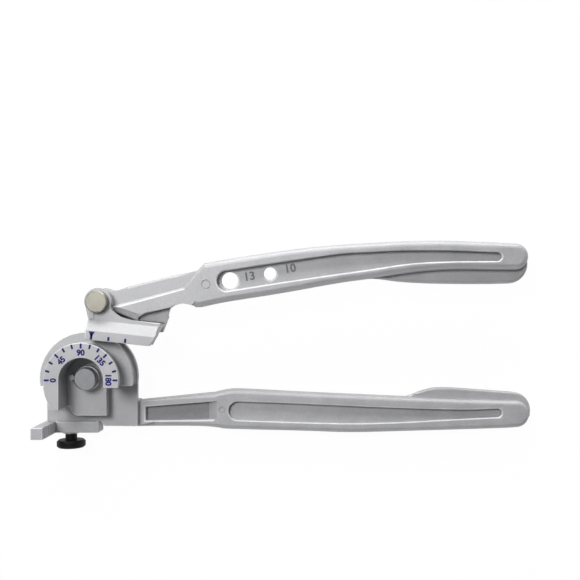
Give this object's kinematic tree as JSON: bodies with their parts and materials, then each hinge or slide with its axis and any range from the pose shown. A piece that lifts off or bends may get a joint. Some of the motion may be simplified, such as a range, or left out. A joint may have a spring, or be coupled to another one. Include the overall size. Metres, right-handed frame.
{
  "type": "tube bender",
  "caption": "Hand lever tube bender: forming die with angle dial and fixed handle, sliding shoe on a swinging arm, bending handle, and a knob-locked tube hook.",
  "frame": {"origin": "bend axis, at the level of the plane the tool lies on", "axes": "+X along the lower handle, +Y towards the upper handle, +Z along the bend axis, out of the dial"},
  "size_m": [0.382, 0.1602, 0.0518],
  "materials": {
    "cast_aluminium": "bead-blasted satin",
    "pin_steel": "ground",
    "plated_steel": "nickel plated",
    "plate_aluminium": "satin",
    "bronze": "plain bearing bronze",
    "brass": "plain",
    "black_plastic": "fine moulded",
    "dark_steel": "black oxide",
    "link_steel": "zinc plated"
  },
  "bodies": {
    "base": {"lower_casting": "cast_aluminium", "center_pin": "pin_steel", "center_thrust_washer": "bronze", "center_rear_washer": "plated_steel", "center_ring": "dark_steel", "thread_insert": "brass"},
    "hook": {"clamp_plate": "plate_aluminium"},
    "clamp_travel": {"clamp_washer": "plated_steel"},
    "clamp_turn": {"clamp_screw": "pin_steel", "clamp_knob": "black_plastic", "knob_hub": "brass"},
    "arm": {"shoe": "cast_aluminium", "link": "link_steel", "link_bush": "bronze", "link_screw": "dark_steel", "link_screw_washer": "plated_steel", "handle_pin": "plated_steel", "handle_pin_washer": "plated_steel", "handle_pin_ring": "dark_steel", "fork_washers": "bronze"},
    "lever": {"upper_handle": "cast_aluminium", "handle_bush": "bronze"}
  },
  "joints": [
    {"name": "bend_swing", "type": "hinge", "parent": "base", "child": "arm", "pos_m": [0, 0, 0], "axis": [0, 0, 1], "range_deg": [-75.4, 104.6]},
    {"name": "lever_lift", "type": "hinge", "parent": "arm", "child": "lever", "pos_m": [0.0115, 0.058, 0.032], "axis": [0, 0, 1], "range_deg": [0, 95]},
    {"name": "hook_slide", "type": "slide", "parent": "base", "child": "hook", "axis": [-1, 0, 0], "range_m": [0, 0.0166]},
    {"name": "screw_travel", "type": "slide", "parent": "base", "child": "clamp_travel", "axis": [0, -1, 0], "range_m": [0, 0.0016]},
    {"name": "knob_turn", "type": "hinge", "parent": "clamp_travel", "child": "clamp_turn", "pos_m": [-0.0183, -0.055, 0.0115], "axis": [0, -1, 0], "range_deg": [0, 540]}
  ],
  "couplings": [
    {"joint": "screw_travel", "follows": "knob_turn", "m_per_rad": 0.00015915}
  ]
}
